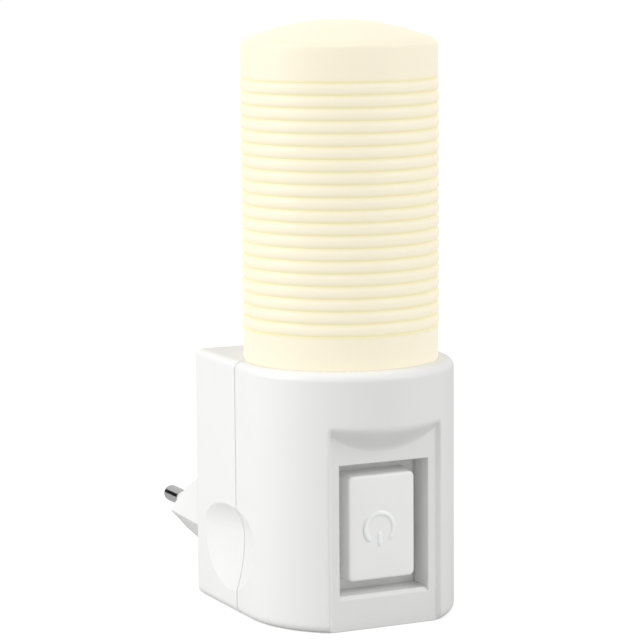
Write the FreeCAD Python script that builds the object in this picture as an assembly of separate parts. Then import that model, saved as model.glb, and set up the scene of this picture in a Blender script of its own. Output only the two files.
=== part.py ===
import FreeCAD, Part
import math
import os

# Plug-in night light: a two-part housing with a plug boss, a ribbed diffuser and a push button.
# Millimetres. X is to the right, +Y points into the socket and +Z is up.
# The origin is on the plug's end face, halfway between the two pins.

# Housing
housing_width = 49.0
housing_height = 57.8
axis_to_back = 26.2
nose_forward = 1.9
seam_behind_axis = 4.0
wall = 2.2
rim_radius = 1.8
base_radius = 2.0
seam_gap = 0.2
lip_length = 2.5
lip_thickness = 1.2
lip_gap = 0.15

# Plug boss
boss_length = 34.0
pin_height = 13.2
boss_end_ridge = 17.6
boss_end_flat = 13.2
boss_end_half = 4.9
boss_base_ridge = 19.2
boss_base_flat = 14.5
boss_base_up = 20.4
boss_base_down = 8.9
boss_end_wall = 2.6
boss_edge_radius = 0.8

# Pins
pin_spacing = 19.0
pin_radius = 2.0
pin_length = 19.0
pin_bare_length = 9.0
pin_core_radius = 1.4
pin_collar_radius = 2.4
pin_tip_radius = 1.3
pin_tail = 17.0
sleeve_radius = 1.83
sleeve_fit = 0.05
sleeve_hole_fit = 0.1
carrier_length = 11.0
carrier_side = 3.0
carrier_gap = 0.15
collar_length = 4.0

# Switch panel, window and button
panel_depth = 5.3
panel_width = 28.6
ramp_height = 47.4
ramp_angle = 50.0
window_width = 21.9
window_height = 29.4
window_sill = 7.8
sill_chamfer = 0.8
window_collar_wall = 1.4
button_gap = 3.05
button_recess = 1.4
button_depth = 7.0
button_wall = 1.5
button_edge_radius = 0.7
button_crown = 0.35
button_stroke = 2.2
skirt_overlap = 1.0
skirt_clearance = 0.4
skirt_thickness = 1.4
socket_wall = 1.3

# Push switch
switch_width = 13.0
switch_height = 14.0
switch_length = 12.0
switch_wall = 1.2
switch_clearance = 0.8
stem_size = 4.0
stem_fit = 0.2
socket_depth = 4.0
slider_size = 6.4
slider_length = 4.6
spring_radius = 2.2
spring_wire = 0.5
spring_turns = 5
spring_groove = 0.25
ear_thickness = 2.0
ear_height = 7.0
post_radius = 2.3
latch_arm = 7.0
latch_swing = 8.4
latch_thickness = 0.8
latch_width = 1.6
latch_peg_radius = 0.5
latch_peg_depth = 1.0
latch_gap = 0.25
pivot_fit = 0.05
bridge_length = 9.6
bridge_width = 1.6
bridge_thickness = 0.4
contact_gap = 0.25
tag_width = 2.0
tag_thickness = 0.6
tag_reach = 4.2

# Diffuser
rib_radius = 22.0
band_step = 0.3
groove_depth = 0.55
groove_count = 21
groove_pitch = 2.767
rib_slope = 0.8
lower_band = 7.5
upper_band = 8.3
dome_rise = 4.5
shoulder_radius = 0.8
diffuser_wall = 1.8
flange_reach = 1.3
flange_thickness = 1.8
flange_gap = 0.3
opening_gap = 0.3

# Light source
led_board_radius = 19.6
board_thickness = 1.6
led_board_drop = 0.6
shelf_thickness = 1.8
shelf_inner_radius = 14.5
led_screw_circle = 17.2
led_boss_radius = 2.5
led_boss_depth = 5.0
led_count = 8
led_circle = 11.0
led_length = 3.5
led_width = 2.8
led_height = 0.8

# Driver
driver_width = 24.0
driver_height = 24.0
driver_lift = 24.0
driver_standoff = 6.2
driver_post_radius = 2.3
driver_post_spacing = 17.0
driver_post_drop = 2.8
film_width = 10.5
film_depth = 8.0
drum_radius = 4.0
drum_length = 10.5
bridge_body_width = 6.4
bridge_body_height = 4.8
bridge_body_depth = 2.6
resistor_radius = 1.4
resistor_length = 8.0
bleeder_radius = 1.0
bleeder_length = 6.0
resistor_lift = 0.5
lead_wire_radius = 0.3

# Fasteners and leads
housing_screw_radius = 1.5
housing_screw_length = 14.0
housing_screw_head = 2.8
housing_screw_head_height = 2.0
housing_screw_height = 45.5
housing_boss_radius = 3.6
rear_boss_radius = 4.6
well_gap = 0.4
well_floor = 6.0
small_screw_radius = 0.9
small_screw_head = 1.9
small_screw_head_height = 1.3
small_screw_length = 5.5
thread_fit = 0.05
drive_width = 0.7
drive_share = 0.7
head_bevel = 0.4
lead_radius = 0.8
lead_bend = 3.0

# Reference planes
half_width = housing_width / 2
band_radius = rib_radius - band_step
groove_radius = rib_radius - groove_depth
flange_radius = band_radius + flange_reach
window_collar_depth = button_recess + button_depth - skirt_thickness - skirt_clearance
base_z = -pin_height
top_z = base_z + housing_height
back_y = -boss_length
lamp_y = back_y - axis_to_back
nose_centre_y = lamp_y - nose_forward
nose_y = nose_centre_y - half_width
seam_y = lamp_y + seam_behind_axis
panel_y = nose_y + panel_depth
ramp_z = base_z + ramp_height
window_z = base_z + window_sill
button_z = window_z + window_height / 2
cap_width = window_width - 2 * button_gap
cap_height = window_height - 2 * button_gap
cap_face_y = panel_y + button_recess
cap_back_y = cap_face_y + button_depth
switch_front_y = cap_back_y + button_stroke + switch_clearance
switch_back_y = switch_front_y + switch_length
flange_top_z = top_z - wall - flange_gap
flange_bottom_z = flange_top_z - flange_thickness
led_board_top_z = flange_bottom_z - led_board_drop
led_board_bottom_z = led_board_top_z - board_thickness
driver_back_y = back_y - wall - driver_standoff
driver_front_y = driver_back_y - board_thickness
driver_bottom_z = base_z + driver_lift
driver_top_z = driver_bottom_z + driver_height
cut_over = 1.0


def vec(x, y, z):
    return FreeCAD.Vector(x, y, z)


def box(x0, x1, y0, y1, z0, z1):
    return Part.makeBox(x1 - x0, y1 - y0, z1 - z0, vec(x0, y0, z0))


def rod_x(x0, x1, y, z, radius):
    return Part.makeCylinder(radius, x1 - x0, vec(x0, y, z), vec(1, 0, 0))


def rod_y(x, y0, y1, z, radius):
    return Part.makeCylinder(radius, y1 - y0, vec(x, y0, z), vec(0, 1, 0))


def rod_z(x, y, z0, z1, radius):
    return Part.makeCylinder(radius, z1 - z0, vec(x, y, z0), vec(0, 0, 1))


def both_sides(make):
    return make(-1).fuse(make(1))


def edges_at(solid, keep):
    """The solid's edges whose middle point passes the test."""
    found = []
    for edge in solid.Edges:
        middle = edge.valueAt((edge.FirstParameter + edge.LastParameter) / 2)
        if keep(middle):
            found.append(edge)
    return found


def near(a, b):
    return abs(a - b) < 1e-4


# The housing's plan: straight sides and back, and a half-round front
def plan_face(inset, z):
    half = half_width - inset
    back = back_y - inset
    left_back = vec(-half, back, z)
    left_front = vec(-half, nose_centre_y, z)
    right_front = vec(half, nose_centre_y, z)
    right_back = vec(half, back, z)
    nose = vec(0, nose_centre_y - half, z)
    edges = [
        Part.LineSegment(left_back, left_front).toShape(),
        Part.Arc(left_front, nose, right_front).toShape(),
        Part.LineSegment(right_front, right_back).toShape(),
        Part.LineSegment(right_back, left_back).toShape(),
    ]
    return Part.Face(Part.Wire(edges))


def plan_prism(inset, z0, z1):
    return plan_face(inset, z0).extrude(vec(0, 0, z1 - z0))


def outer_block():
    """The closed outer form, rounded along its rim and its bottom edge."""
    block = plan_prism(0, base_z, top_z)
    rim = edges_at(block, lambda p: near(p.z, top_z) and p.y < back_y - cut_over)
    block = block.makeFillet(rim_radius, rim)
    foot = edges_at(block, lambda p: near(p.z, base_z) and p.y < back_y - cut_over)
    return block.makeFillet(base_radius, foot)


# The sunken flat panel on the round front, under a sloped brow that follows the round
def panel_pocket(grow):
    angle = math.radians(ramp_angle)
    reach = 2 * panel_depth + 2 * wall
    shift = vec(0, grow * math.sin(angle), grow * math.cos(angle))
    brow = plan_face(0, ramp_z).extrude(vec(0, reach, -reach * math.tan(angle)))
    brow.translate(shift)
    half = panel_width / 2 + grow
    pocket = box(-half, half, nose_y - 5 * cut_over, panel_y + grow, base_z - 5 * cut_over, ramp_z + shift.z)
    return pocket.cut(brow)


# Finger scoop in each side wall, sharp at the top and fading out at the bottom
scoop_behind_axis = 8.1
scoop_half_width = 13.7
scoop_widest = 18.1
scoop_top = 24.5
scoop_bottom = 5.0
scoop_depth = 2.2


def scoop(side, grow):
    turn_radius = (scoop_half_width ** 2 + scoop_depth ** 2) / (2 * scoop_depth)
    rim = turn_radius - scoop_depth
    outer = turn_radius + grow
    z_wide = base_z + scoop_widest
    z_top = base_z + scoop_top + grow
    z_low = base_z + scoop_bottom - grow
    upper = z_top - z_wide
    lower = z_wide - z_low
    depth = outer - rim
    upper_arc = (upper ** 2 + depth ** 2) / (2 * depth)
    lower_arc = (lower ** 2 + depth ** 2) / (2 * depth)
    a = math.asin(upper / upper_arc) / 2
    b = math.asin(lower / lower_arc) / 2
    upper_mid = vec(outer - upper_arc + upper_arc * math.cos(a), 0, z_wide + upper_arc * math.sin(a))
    lower_mid = vec(outer - lower_arc + lower_arc * math.cos(b), 0, z_wide - lower_arc * math.sin(b))
    wide = vec(outer, 0, z_wide)
    edges = [
        Part.LineSegment(vec(0, 0, z_low), vec(0, 0, z_top)).toShape(),
        Part.LineSegment(vec(0, 0, z_top), vec(rim, 0, z_top)).toShape(),
        Part.Arc(vec(rim, 0, z_top), upper_mid, wide).toShape(),
        Part.Arc(wide, lower_mid, vec(rim, 0, z_low)).toShape(),
        Part.LineSegment(vec(rim, 0, z_low), vec(0, 0, z_low)).toShape(),
    ]
    profile = Part.Face(Part.Wire(edges))
    form = profile.revolve(vec(0, 0, 0), vec(0, 0, 1), 360)
    form.translate(vec(side * (half_width + rim), lamp_y + scoop_behind_axis, 0))
    return form


def cavity():
    room = plan_prism(wall, base_z + wall, top_z - wall)
    room = room.cut(panel_pocket(wall))
    return room.cut(scoop(-1, wall)).cut(scoop(1, wall))


def shell():
    """Both housing halves in one piece, hollow, with the lamp's opening and flange groove."""
    body = outer_block().cut(cavity()).cut(panel_pocket(0))
    body = body.cut(scoop(-1, 0)).cut(scoop(1, 0))
    opening = rod_z(0, lamp_y, top_z - wall - cut_over, top_z + cut_over, band_radius + opening_gap)
    groove_low = flange_bottom_z - flange_gap
    groove = rod_z(0, lamp_y, groove_low, top_z - wall, flange_radius + flange_gap)
    return body.cut(opening).cut(groove)


def front_room():
    return box(-housing_width, housing_width, nose_y - housing_width, seam_y, base_z - wall, top_z + wall)


def rear_room():
    return box(-housing_width, housing_width, seam_y + seam_gap, housing_width, base_z - wall, top_z + wall)


def window_block(y0, y1, margin):
    half = window_width / 2 + margin
    return box(-half, half, y0, y1, window_z - margin, window_z + window_height + margin)


def sill_cut():
    """The bevel along the window's lower edge."""
    half = window_width / 2
    corners = [
        vec(-half, panel_y - cut_over, window_z - sill_chamfer - cut_over),
        vec(-half, panel_y + sill_chamfer, window_z),
        vec(-half, panel_y + sill_chamfer, window_z + cut_over),
        vec(-half, panel_y - cut_over, window_z + cut_over),
    ]
    return Part.Face(Part.makePolygon(corners + corners[:1])).extrude(vec(window_width, 0, 0))


ear_front_y = switch_front_y + switch_wall
post_x = window_width / 2 + window_collar_wall + post_radius
housing_screw_x = half_width - wall - housing_boss_radius + thread_fit + wall / 2
housing_screw_z = base_z + housing_screw_height
led_screw_x = led_screw_circle * math.sin(math.radians(45))


def led_shelf():
    """The half ring that carries the lamp board, with a boss under each of its screws."""
    top = led_board_bottom_z
    ring = plan_prism(wall / 2, top - shelf_thickness, top)
    ring = ring.cut(rod_z(0, lamp_y, top - shelf_thickness - cut_over, top + cut_over, shelf_inner_radius))
    ring = ring.common(box(-half_width, half_width, nose_y, lamp_y, base_z, top_z))
    bosses = both_sides(lambda s: rod_z(s * led_screw_x, lamp_y - led_screw_x, top - led_boss_depth,
                                        top, led_boss_radius))
    return ring.fuse(bosses)


def led_screw_holes():
    top = led_board_bottom_z
    return both_sides(lambda s: rod_z(s * led_screw_x, lamp_y - led_screw_x, top - led_boss_depth + cut_over / 2,
                                      top + cut_over, small_screw_radius + thread_fit))


def front_housing():
    body = shell().common(front_room())
    inside = plan_prism(wall / 2, base_z, top_z)
    body = body.fuse(window_block(panel_y + wall / 2, panel_y + window_collar_depth, window_collar_wall))
    posts = both_sides(lambda s: rod_y(s * post_x, nose_y, ear_front_y, button_z, post_radius))
    posts = posts.common(inside).cut(panel_pocket(0))
    bosses = both_sides(lambda s: rod_y(s * housing_screw_x, seam_y - housing_screw_length, seam_y,
                                        housing_screw_z, housing_boss_radius))
    body = body.fuse(posts).fuse(bosses.common(inside)).fuse(led_shelf())
    body = body.cut(window_block(panel_y - cut_over, panel_y + window_collar_depth + cut_over, 0))
    body = body.cut(sill_cut())
    hole = small_screw_radius + thread_fit
    body = body.cut(both_sides(lambda s: rod_y(s * post_x, ear_front_y - small_screw_length, ear_front_y + cut_over,
                                               button_z, hole)))
    hole = housing_screw_radius + thread_fit
    depth = housing_screw_length - well_floor + cut_over
    body = body.cut(both_sides(lambda s: rod_y(s * housing_screw_x, seam_y - depth, seam_y + cut_over,
                                               housing_screw_z, hole)))
    return body.cut(led_screw_holes()).removeSplitter()


# The plug boss is a six-sided form that grows from the end face to the back wall
def boss_section(y, inset):
    share = -y / boss_length
    ridge = boss_end_ridge + (boss_base_ridge - boss_end_ridge) * share - inset
    flat = boss_end_flat + (boss_base_flat - boss_end_flat) * share - inset / 2
    up = boss_end_half + (boss_base_up - boss_end_half) * share - inset
    down = boss_end_half + (boss_base_down - boss_end_half) * share - inset
    corners = [vec(-ridge, y, 0), vec(-flat, y, up), vec(flat, y, up), vec(ridge, y, 0),
               vec(flat, y, -down), vec(-flat, y, -down)]
    return Part.makePolygon(corners + corners[:1])


def boss_form(y0, y1, inset):
    return Part.makeLoft([boss_section(y0, inset), boss_section(y1, inset)], True, True)


def plug_boss():
    form = boss_form(back_y - wall / 2, 0, 0)
    rim = edges_at(form, lambda p: near(p.y, 0))
    return form.makeFillet(boss_edge_radius, rim)


def locating_lip():
    """Three thin plates that slide inside the front housing."""
    y0 = seam_y - lip_length
    y1 = seam_y + wall
    side_in = half_width - wall
    low = base_z + scoop_top + 2 * wall
    high = housing_screw_z - rear_boss_radius - lip_gap
    floor = base_z + wall
    plates = both_sides(lambda s: box(min(s * (side_in - lip_gap), s * (side_in - lip_gap - lip_thickness)),
                                      max(s * (side_in - lip_gap), s * (side_in - lip_gap - lip_thickness)),
                                      y0, y1, low, high))
    roots = both_sides(lambda s: box(min(s * side_in, s * (side_in - lip_gap - lip_thickness)),
                                     max(s * side_in, s * (side_in - lip_gap - lip_thickness)),
                                     seam_y + seam_gap, y1, low, high))
    half = boss_end_flat
    tongue = box(-half, half, y0, y1, floor + lip_gap, floor + lip_gap + lip_thickness)
    heel = box(-half, half, seam_y + seam_gap, y1, floor - lip_gap, floor + lip_gap + lip_thickness)
    return plates.fuse(roots).fuse(tongue).fuse(heel)


def driver_post_z():
    return driver_top_z - driver_post_drop


def rear_cover():
    body = shell().common(rear_room())
    inside = plan_prism(wall / 2, base_z, top_z)
    body = body.fuse(plug_boss())
    tubes = both_sides(lambda s: rod_y(s * housing_screw_x, seam_y + seam_gap, back_y - wall / 2,
                                       housing_screw_z, rear_boss_radius))
    body = body.fuse(tubes.common(inside))
    posts = both_sides(lambda s: rod_y(s * driver_post_spacing / 2, driver_back_y, back_y - wall / 2,
                                       driver_post_z(), driver_post_radius))
    body = body.fuse(posts).fuse(locating_lip())
    body = body.cut(boss_form(back_y - wall - cut_over / 2, -boss_end_wall, wall))
    hole = sleeve_radius + sleeve_hole_fit
    body = body.cut(both_sides(lambda s: rod_y(s * pin_spacing / 2, -boss_end_wall - cut_over, cut_over, 0, hole)))
    floor_y = seam_y + well_floor
    head = housing_screw_head + well_gap
    body = body.cut(both_sides(lambda s: rod_y(s * housing_screw_x, floor_y, back_y + cut_over,
                                               housing_screw_z, head)))
    shank = housing_screw_radius + well_gap / 2
    body = body.cut(both_sides(lambda s: rod_y(s * housing_screw_x, seam_y, floor_y + cut_over,
                                               housing_screw_z, shank)))
    hole = small_screw_radius + thread_fit
    body = body.cut(both_sides(lambda s: rod_y(s * driver_post_spacing / 2, driver_back_y - cut_over,
                                               driver_back_y + small_screw_length, driver_post_z(), hole)))
    return body.removeSplitter()


# Pin: domed bare end, thin core under the sleeve, collar in the carrier and a tail for the lead
def plug_pin(side):
    x = side * pin_spacing / 2
    bare = rod_y(x, pin_length - pin_bare_length, pin_length, 0, pin_radius)
    bare = bare.makeFillet(pin_tip_radius, edges_at(bare, lambda p: near(p.y, pin_length)))
    core = rod_y(x, -pin_tail, pin_length - pin_bare_length, 0, pin_core_radius)
    collar_mid = -boss_end_wall - carrier_length / 2
    collar = rod_y(x, collar_mid - collar_length / 2, collar_mid + collar_length / 2, 0, pin_collar_radius)
    return bare.fuse(core).fuse(collar).removeSplitter()


def pin_sleeve(side):
    x = side * pin_spacing / 2
    y0 = -boss_end_wall
    y1 = pin_length - pin_bare_length
    return rod_y(x, y0, y1, 0, sleeve_radius).cut(rod_y(x, y0, y1, 0, pin_core_radius + sleeve_fit))


def pin_carrier():
    """Insulating block behind the end wall, with a stepped bore that holds each pin by its collar."""
    y1 = -boss_end_wall
    y0 = y1 - carrier_length
    half_x = pin_spacing / 2 + carrier_side
    down = boss_end_half - wall - carrier_gap
    block = box(-half_x, half_x, y0, y1, -down, boss_end_half - wall)
    mid = (y0 + y1) / 2
    reach = collar_length / 2
    for side in (-1, 1):
        x = side * pin_spacing / 2
        block = block.cut(rod_y(x, y0, y1, 0, pin_core_radius + sleeve_fit))
        block = block.cut(rod_y(x, mid - reach, mid + reach, 0, pin_collar_radius + sleeve_fit))
    return block


def diffuser():
    """Hollow ribbed shade: flange, plain band, rounded ribs, plain band and a low dome."""
    z0 = flange_bottom_z
    z1 = top_z + lower_band
    z2 = z1 + (groove_count - 1) * groove_pitch
    z3 = z2 + upper_band
    inner = band_radius - diffuser_wall
    rise = shoulder_radius * 0.5
    dome_r = band_radius - shoulder_radius
    sphere = ((band_radius ** 2) + dome_rise ** 2) / (2 * dome_rise)
    apex = z3 + dome_rise
    inner_sphere = sphere - diffuser_wall
    centre_z = apex - sphere

    def on_sphere(radius, r):
        return vec(r, 0, centre_z + math.sqrt(radius ** 2 - r ** 2))

    edges = []

    def line(a, b):
        edges.append(Part.LineSegment(a, b).toShape())

    def arc(a, m, b):
        edges.append(Part.Arc(a, m, b).toShape())

    line(vec(inner, 0, z0), vec(flange_radius, 0, z0))
    line(vec(flange_radius, 0, z0), vec(flange_radius, 0, flange_top_z))
    line(vec(flange_radius, 0, flange_top_z), vec(band_radius, 0, flange_top_z))
    line(vec(band_radius, 0, flange_top_z), vec(band_radius, 0, z1))
    line(vec(band_radius, 0, z1), vec(groove_radius, 0, z1))
    for i in range(groove_count - 1):
        low = z1 + i * groove_pitch
        high = low + groove_pitch
        line(vec(groove_radius, 0, low), vec(rib_radius, 0, low + rib_slope))
        line(vec(rib_radius, 0, low + rib_slope), vec(rib_radius, 0, high - rib_slope))
        line(vec(rib_radius, 0, high - rib_slope), vec(groove_radius, 0, high))
    line(vec(groove_radius, 0, z2), vec(band_radius, 0, z2))
    line(vec(band_radius, 0, z2), vec(band_radius, 0, z3 - rise))
    top_edge = on_sphere(sphere, dome_r)
    line(vec(band_radius, 0, z3 - rise), top_edge)
    arc(top_edge, on_sphere(sphere, dome_r / 2), vec(0, 0, apex))
    line(vec(0, 0, apex), vec(0, 0, apex - diffuser_wall))
    inner_edge = on_sphere(inner_sphere, inner)
    arc(vec(0, 0, apex - diffuser_wall), on_sphere(inner_sphere, inner / 2), inner_edge)
    line(inner_edge, vec(inner, 0, z0))
    shade = Part.Face(Part.Wire(edges)).revolve(vec(0, 0, 0), vec(0, 0, 1), 360)
    shade.translate(vec(0, lamp_y, 0))
    return shade


# Push button: a slightly crowned cap on a wide skirt, with a socket for the switch stem
def push_button():
    cap = box(-cap_width / 2, cap_width / 2, cap_face_y, cap_back_y, button_z - cap_height / 2,
              button_z + cap_height / 2)
    corners = edges_at(cap, lambda p: near(abs(p.x), cap_width / 2) and near(abs(p.z - button_z), cap_height / 2))
    cap = cap.makeFillet(button_edge_radius, corners)
    crown_radius = (cap_height ** 2 / 4 + button_crown ** 2) / (2 * button_crown)
    crown = rod_x(-cap_width, cap_width, cap_face_y + crown_radius, button_z, crown_radius)
    cap = cap.common(crown)
    skirt_y = cap_back_y - skirt_thickness
    half_x = window_width / 2 + skirt_overlap
    half_z = window_height / 2 + skirt_overlap
    skirt = box(-half_x, half_x, skirt_y, cap_back_y, button_z - half_z, button_z + half_z)
    body = cap.fuse(skirt)
    hollow_x = cap_width / 2 - button_wall
    hollow_z = cap_height / 2 - button_wall
    face = cap_face_y + button_crown + button_wall
    body = body.cut(box(-hollow_x, hollow_x, face, cap_back_y, button_z - hollow_z, button_z + hollow_z))
    tube = stem_size / 2 + socket_wall
    rib = socket_wall / 2
    body = body.fuse(box(-tube, tube, face - rib, cap_back_y, button_z - tube, button_z + tube))
    body = body.fuse(box(-rib, rib, face - rib, cap_back_y, button_z - hollow_z - rib, button_z + hollow_z + rib))
    body = body.fuse(box(-hollow_x - rib, hollow_x + rib, face - rib, cap_back_y, button_z - rib, button_z + rib))
    hole = stem_size / 2
    return body.cut(box(-hole, hole, cap_back_y - socket_depth, cap_back_y, button_z - hole, button_z + hole))


slider_front_y = switch_front_y + switch_wall + stem_fit
slider_back_y = slider_front_y + slider_length
latch_peg_y = slider_front_y + slider_length / 2 - button_stroke / 2
latch_pivot_y = latch_peg_y + latch_arm
slider_top_z = button_z + slider_size / 2
latch_low_z = slider_top_z + latch_gap
latch_shift = latch_arm * math.sin(math.radians(latch_swing))


def latch_track():
    """The slanted groove on the slider, in which the latch's peg runs as the button goes in."""
    start = vec(0, latch_peg_y, 0)
    end = vec(latch_shift, latch_peg_y - button_stroke, 0)
    width = latch_peg_radius + latch_gap
    run = end - start
    length = run.Length
    z0 = slider_top_z - latch_peg_depth
    bar = box(0, length, -width, width, z0, slider_top_z + cut_over)
    bar.rotate(vec(0, 0, 0), vec(0, 0, 1), math.degrees(math.atan2(run.y, run.x)))
    bar.translate(start)
    ends = rod_z(start.x, start.y, z0, slider_top_z + cut_over, width)
    ends = ends.fuse(rod_z(end.x, end.y, z0, slider_top_z + cut_over, width))
    return bar.fuse(ends)


def switch_plunger():
    stem = stem_size / 2
    body = box(-stem, stem, cap_back_y - socket_depth, slider_front_y, button_z - stem, button_z + stem)
    half = slider_size / 2
    slider = box(-half, half, slider_front_y, slider_back_y, button_z - half, button_z + half)
    nub = rod_y(0, slider_back_y, slider_back_y + spring_wire * 2, button_z, spring_radius - spring_wire * 1.2)
    return body.fuse(slider).fuse(nub).cut(latch_track())


def button_spring():
    """Return spring between the slider and the switch's end wall, as a tube with a groove between its turns."""
    y0 = slider_back_y
    pitch = (switch_back_y - switch_wall - y0) / spring_turns
    inner = spring_radius - spring_wire
    corners = [vec(inner, y0, 0)]
    for i in range(spring_turns):
        corners.append(vec(spring_radius - spring_groove, y0 + i * pitch, 0))
        corners.append(vec(spring_radius, y0 + (i + 0.5) * pitch, 0))
    end = y0 + spring_turns * pitch
    corners.append(vec(spring_radius - spring_groove, end, 0))
    corners.append(vec(inner, end, 0))
    tube = Part.Face(Part.makePolygon(corners + corners[:1])).revolve(vec(0, 0, 0), vec(0, 1, 0), 360)
    tube.translate(vec(0, 0, button_z))
    return tube


bridge_y = slider_back_y - bridge_thickness
bridge_z = button_z - slider_size / 2 - bridge_width
pad_y = slider_back_y + button_stroke + contact_gap
tag_x = bridge_length / 2 - tag_width / 2


def contact_bridge():
    half = bridge_length / 2
    return box(-half, half, bridge_y, slider_back_y, bridge_z, bridge_z + bridge_width)


def switch_terminal(side):
    """Fixed contact: a pad in front of the bridge and a tag out of the back wall."""
    x0 = side * tag_x - tag_width / 2
    low = bridge_z - tag_thickness
    pad = box(x0, x0 + tag_width, pad_y, pad_y + tag_thickness, low, bridge_z + bridge_width)
    tag = box(x0, x0 + tag_width, pad_y, switch_back_y + tag_reach, low, low + tag_thickness)
    return pad.fuse(tag).removeSplitter()


def switch_body():
    half_x = switch_width / 2
    half_z = switch_height / 2
    body = box(-half_x, half_x, switch_front_y, switch_back_y, button_z - half_z, button_z + half_z)
    ear_x = post_x + post_radius
    ears = box(-ear_x, ear_x, ear_front_y, ear_front_y + ear_thickness, button_z - ear_height / 2,
               button_z + ear_height / 2)
    body = body.fuse(ears)
    body = body.cut(box(-half_x + switch_wall, half_x - switch_wall, switch_front_y + switch_wall,
                        switch_back_y - switch_wall, button_z - half_z + switch_wall, button_z + half_z - switch_wall))
    hole = stem_size / 2 + stem_fit
    body = body.cut(box(-hole, hole, switch_front_y - cut_over, switch_front_y + switch_wall + cut_over,
                        button_z - hole, button_z + hole))
    for side in (-1, 1):
        x0 = side * tag_x - tag_width / 2
        low = bridge_z - tag_thickness
        body = body.cut(box(x0, x0 + tag_width, switch_back_y - switch_wall, switch_back_y, low, low + tag_thickness))
    body = body.cut(both_sides(lambda s: rod_y(s * post_x, ear_front_y - cut_over, ear_front_y + ear_thickness + cut_over,
                                               button_z, small_screw_radius + stem_fit)))
    body = body.cut(rod_z(0, latch_pivot_y, latch_low_z, button_z + half_z + cut_over, latch_peg_radius + pivot_fit))
    return body.removeSplitter()


def latch_lever():
    """Flat lever over the slider: a pivot stub at the back and a peg down into the slanted groove."""
    z0 = latch_low_z
    z1 = z0 + latch_thickness
    half = latch_width / 2
    bar = box(-half, half, latch_peg_y, latch_pivot_y, z0, z1)
    bar = bar.fuse(rod_z(0, latch_peg_y, z0, z1, half)).fuse(rod_z(0, latch_pivot_y, z0, z1, half))
    peg = rod_z(0, latch_peg_y, slider_top_z - latch_peg_depth + latch_gap, z0 + latch_thickness / 2, latch_peg_radius)
    stub = rod_z(0, latch_pivot_y, z0 + latch_thickness / 2, button_z + switch_height / 2, latch_peg_radius)
    return bar.fuse(peg).fuse(stub).removeSplitter()


def small_screw(place, turn):
    """Pan-head screw with a cross slot, its head's underside at the place."""
    head = Part.makeCylinder(small_screw_head, small_screw_head_height)
    head = head.makeChamfer(head_bevel, edges_at(head, lambda p: near(p.z, small_screw_head_height)))
    screw = head.fuse(rod_z(0, 0, -small_screw_length, 0, small_screw_radius))
    reach = small_screw_head * drive_share
    half = drive_width / 2
    low = small_screw_head_height / 2
    slot = box(-reach, reach, -half, half, low, small_screw_head_height + cut_over)
    slot = slot.fuse(box(-half, half, -reach, reach, low, small_screw_head_height + cut_over))
    screw = screw.cut(slot)
    screw.rotate(vec(0, 0, 0), vec(1, 0, 0), turn)
    screw.translate(place)
    return screw


def housing_screw(side):
    """Self-tapping screw, put in from the back."""
    y = seam_y + well_floor
    x = side * housing_screw_x
    z = housing_screw_z
    head = rod_y(x, y, y + housing_screw_head_height, z, housing_screw_head)
    rim = edges_at(head, lambda p: near(p.y, y + housing_screw_head_height))
    head = head.makeChamfer(head_bevel, rim)
    screw = head.fuse(rod_y(x, y - housing_screw_length, y, z, housing_screw_radius))
    reach = housing_screw_head * drive_share
    half = drive_width / 2
    slot_y = y + housing_screw_head_height / 2
    slot = box(x - reach, x + reach, slot_y, y + 2 * housing_screw_head_height, z - half, z + half)
    slot = slot.fuse(box(x - half, x + half, slot_y, y + 2 * housing_screw_head_height, z - reach, z + reach))
    return screw.cut(slot)


def led_board():
    board = rod_z(0, lamp_y, led_board_bottom_z, led_board_top_z, led_board_radius)
    holes = both_sides(lambda s: rod_z(s * led_screw_x, lamp_y - led_screw_x, led_board_bottom_z - cut_over,
                                       led_board_top_z + cut_over, small_screw_radius + stem_fit))
    return board.cut(holes)


def led_chips():
    chips = []
    for i in range(led_count):
        angle = 360 * i / led_count
        chip = box(led_circle - led_length / 2, led_circle + led_length / 2, -led_width / 2, led_width / 2,
                   led_board_top_z, led_board_top_z + led_height)
        chip.rotate(vec(0, 0, 0), vec(0, 0, 1), angle)
        chip.translate(vec(0, lamp_y, 0))
        chips.append(chip)
    return Part.makeCompound(chips)


def driver_board():
    half = driver_width / 2
    board = box(-half, half, driver_front_y, driver_back_y, driver_bottom_z, driver_top_z)
    return board.cut(both_sides(lambda s: rod_y(s * driver_post_spacing / 2, driver_front_y - cut_over,
                                                driver_back_y + cut_over, driver_post_z(),
                                                small_screw_radius + stem_fit)))


part_gap = 0.8
film_x = -driver_width / 2 + part_gap + film_width / 2
fuse_z = driver_top_z - driver_post_drop - small_screw_head - part_gap - resistor_radius
film_bottom_z = driver_bottom_z + 2 * bleeder_radius + 2 * part_gap
film_top_z = fuse_z - resistor_radius - part_gap
drum_x = film_x + film_width / 2 + part_gap + drum_radius
drum_z = driver_bottom_z + 2 * bleeder_radius + 2 * part_gap + drum_radius
rectifier_z = drum_z + drum_radius + part_gap + bridge_body_height / 2
resistor_x = film_x
bleeder_z = driver_bottom_z + part_gap + bleeder_radius
bleeder_x = film_x


def film_capacitor():
    block = box(film_x - film_width / 2, film_x + film_width / 2, driver_front_y - film_depth, driver_front_y,
                film_bottom_z, film_top_z)
    return block.makeFillet(0.6, edges_at(block, lambda p: near(p.y, driver_front_y - film_depth)))


def smoothing_capacitor():
    """Drum capacitor with its rolled groove near the base."""
    y1 = driver_front_y
    drum = rod_y(drum_x, y1 - drum_length, y1, drum_z, drum_radius)
    ring = rod_y(drum_x, y1 - 3 * part_gap, y1 - 2 * part_gap, drum_z, drum_radius + cut_over)
    ring = ring.cut(rod_y(drum_x, y1 - 3 * part_gap, y1 - 2 * part_gap, drum_z, drum_radius - 0.4))
    return drum.cut(ring)


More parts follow.
